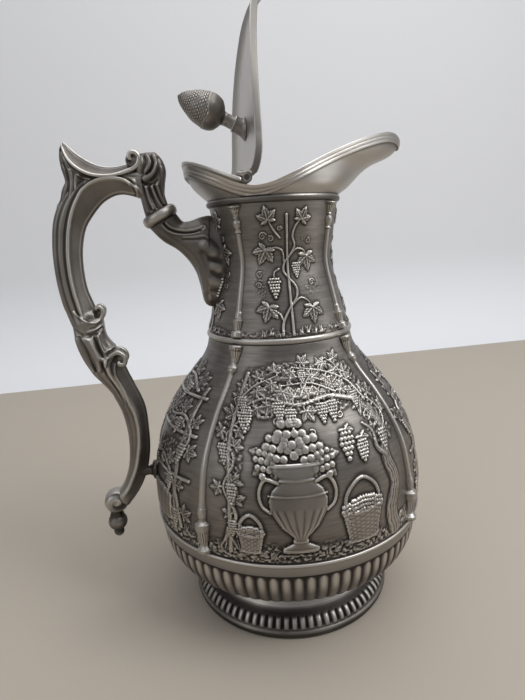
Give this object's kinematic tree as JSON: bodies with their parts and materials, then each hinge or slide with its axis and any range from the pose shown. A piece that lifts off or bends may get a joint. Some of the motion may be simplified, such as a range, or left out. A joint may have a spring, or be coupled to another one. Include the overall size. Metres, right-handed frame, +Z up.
{
  "type": "pewter jug",
  "caption": "Round-bellied footed jug with a flaring pouring lip, a scrolled side handle and a hinged half lid with a bud finial.",
  "frame": {"origin": "centre of the foot's underside, on the surface that the jug stands on", "axes": "+Z up, +X to the pouring lip, -X to the handle, Y along the lid's hinge"},
  "size_m": [0.1483, 0.1188, 0.252],
  "materials": {
    "pewter_antique": "cast pewter, darkened in the recesses and rubbed bright on the relief",
    "pewter_satin": "satin pewter, finely brushed",
    "steel_pin": "plain drawn steel"
  },
  "bodies": {
    "jug": {"foot_ring": "pewter_antique", "lower_bowl": "pewter_antique", "girdle_band": "pewter_satin", "belly_shell": "pewter_antique", "belly_columns": "pewter_antique", "neck_ring": "pewter_satin", "neck_shell": "pewter_antique", "neck_columns": "pewter_antique", "collar_bead": "pewter_satin", "spout_collar": "pewter_satin", "rear_cover": "pewter_satin", "hinge_pin": "steel_pin", "handle_bracket": "pewter_antique", "handle_ring": "pewter_antique", "handle_knuckle": "pewter_antique", "handle_ledge": "pewter_antique", "handle_grip": "pewter_antique", "handle_leaf": "pewter_antique", "handle_tail": "pewter_antique", "handle_terminal": "pewter_antique", "handle_peg": "pewter_antique"},
    "lid_group": {"lid": "pewter_satin", "finial_stem": "pewter_antique", "finial_bud": "pewter_antique", "finial_stud": "steel_pin", "finial_nut": "steel_pin"}
  },
  "joints": [
    {"name": "lid_hinge", "type": "hinge", "parent": "jug", "child": "lid_group", "pos_m": [-0.015, 0, 0.1804], "axis": [0, 1, 0], "range_deg": [-26, 64]}
  ]
}
